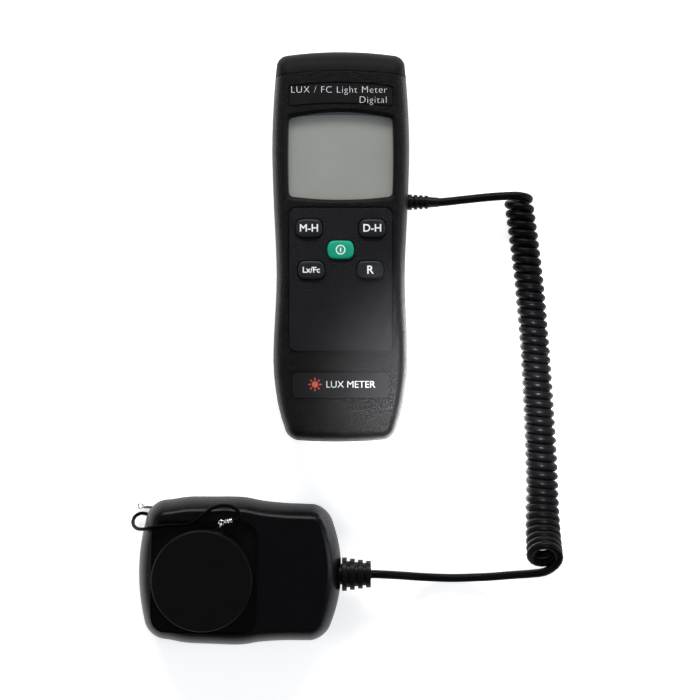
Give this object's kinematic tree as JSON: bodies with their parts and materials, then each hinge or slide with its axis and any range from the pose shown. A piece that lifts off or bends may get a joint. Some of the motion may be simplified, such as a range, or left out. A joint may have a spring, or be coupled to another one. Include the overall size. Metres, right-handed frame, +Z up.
{
  "type": "handheld light meter",
  "caption": "Handheld light meter: a waisted black case with a display and keys, joined by a curly cord to a flat remote sensor head under a tethered dust cap.",
  "frame": {"origin": "centre of the handset's flat back, on the surface that the meter lies on", "axes": "+X across the handset towards the cord, +Y along the handset towards the display end, +Z up out of the display"},
  "size_m": [0.1779, 0.2438, 0.0313],
  "materials": {
    "case_plastic": "fine spark texture, matt",
    "label_film": "smooth printed film",
    "key_rubber": "matt, white print",
    "key_green": "satin, white print",
    "soft_rubber": "satin moulded",
    "cord_jacket": "satin PVC",
    "lens": "clear, polished",
    "lcd": "grey-green reflective LCD",
    "board": "solder-masked glass laminate",
    "chip": "moulded epoxy",
    "steel": "nickel plated",
    "dome": "opal acrylic",
    "filter": "optical filter glass",
    "battery": "printed steel can",
    "foam": "soft elastomer",
    "red_wire": "PVC insulation",
    "connector": "nylon"
  },
  "bodies": {
    "handset": {"front_shell": "case_plastic", "rear_shell": "case_plastic", "top_end_cap": "case_plastic", "top_label": "label_film", "keypad_overlay": "label_film", "badge_plate": "label_film", "display_window": "lens", "display_frame": "case_plastic", "lcd_panel": "lcd", "upper_contact_strip": "foam", "lower_contact_strip": "foam", "main_board": "board", "controller_chip": "chip", "clock_crystal": "steel", "filter_capacitor": "chip", "sensor_header": "connector", "keypad_mat": "foam", "battery": "battery", "battery_snap": "soft_rubber", "battery_pad": "foam", "battery_lead_red": "red_wire", "battery_lead_black": "soft_rubber", "handset_strain_relief": "soft_rubber", "inner_cord_end": "cord_jacket", "cord_lead_handset": "cord_jacket", "cord_coil": "cord_jacket", "case_screw_1": "steel", "case_screw_2": "steel", "case_screw_3": "steel", "case_screw_4": "steel", "board_screw_1": "steel", "board_screw_2": "steel", "board_screw_3": "steel", "board_screw_4": "steel"},
    "sensor_head": {"sensor_front_shell": "case_plastic", "sensor_rear_shell": "case_plastic", "tether_post": "steel", "diffuser_dome": "dome", "dome_retainer": "case_plastic", "filter_holder": "case_plastic", "colour_filter": "filter", "photodiode": "chip", "sensor_board": "board", "sensor_strain_relief": "soft_rubber", "cord_lead_sensor": "cord_jacket", "tether_cord": "cord_jacket", "housing_ferrule": "steel", "sensor_screw_1": "steel", "sensor_screw_2": "steel", "sensor_screw_3": "steel", "sensor_screw_4": "steel"},
    "cap": {"sensor_cap": "case_plastic", "cap_ring": "steel", "cap_ferrule": "steel"},
    "battery_door": {"battery_door": "case_plastic"},
    "key_max_hold": {"key_max_hold": "key_rubber"},
    "key_data_hold": {"key_data_hold": "key_rubber"},
    "key_unit": {"key_unit": "key_rubber"},
    "key_range": {"key_range": "key_rubber"},
    "key_power": {"key_power": "key_green"}
  },
  "joints": [
    {"name": "sensor_pull", "type": "slide", "parent": "handset", "child": "sensor_head", "axis": [0, -1, 0], "range_m": [0, 0.25], "stiffness_N_per_m": 10, "deforming": ["cord_coil", "cord_lead_sensor"]},
    {"name": "cap_lift", "type": "slide", "parent": "sensor_head", "child": "cap", "axis": [0, 0, 1], "range_m": [0, 0.03], "deforming": ["tether_cord"]},
    {"name": "battery_door_slide", "type": "slide", "parent": "handset", "child": "battery_door", "axis": [0, -1, 0], "range_m": [0, 0.02]},
    {"name": "key_max_hold_press", "type": "slide", "parent": "handset", "child": "key_max_hold", "axis": [0, 0, -1], "range_m": [0, 0.0012], "stiffness_N_per_m": 300, "springref_m": -0.004},
    {"name": "key_data_hold_press", "type": "slide", "parent": "handset", "child": "key_data_hold", "axis": [0, 0, -1], "range_m": [0, 0.0012], "stiffness_N_per_m": 300, "springref_m": -0.004},
    {"name": "key_unit_press", "type": "slide", "parent": "handset", "child": "key_unit", "axis": [0, 0, -1], "range_m": [0, 0.0012], "stiffness_N_per_m": 300, "springref_m": -0.004},
    {"name": "key_range_press", "type": "slide", "parent": "handset", "child": "key_range", "axis": [0, 0, -1], "range_m": [0, 0.0012], "stiffness_N_per_m": 300, "springref_m": -0.004},
    {"name": "key_power_press", "type": "slide", "parent": "handset", "child": "key_power", "axis": [0, 0, -1], "range_m": [0, 0.0012], "stiffness_N_per_m": 300, "springref_m": -0.004}
  ]
}
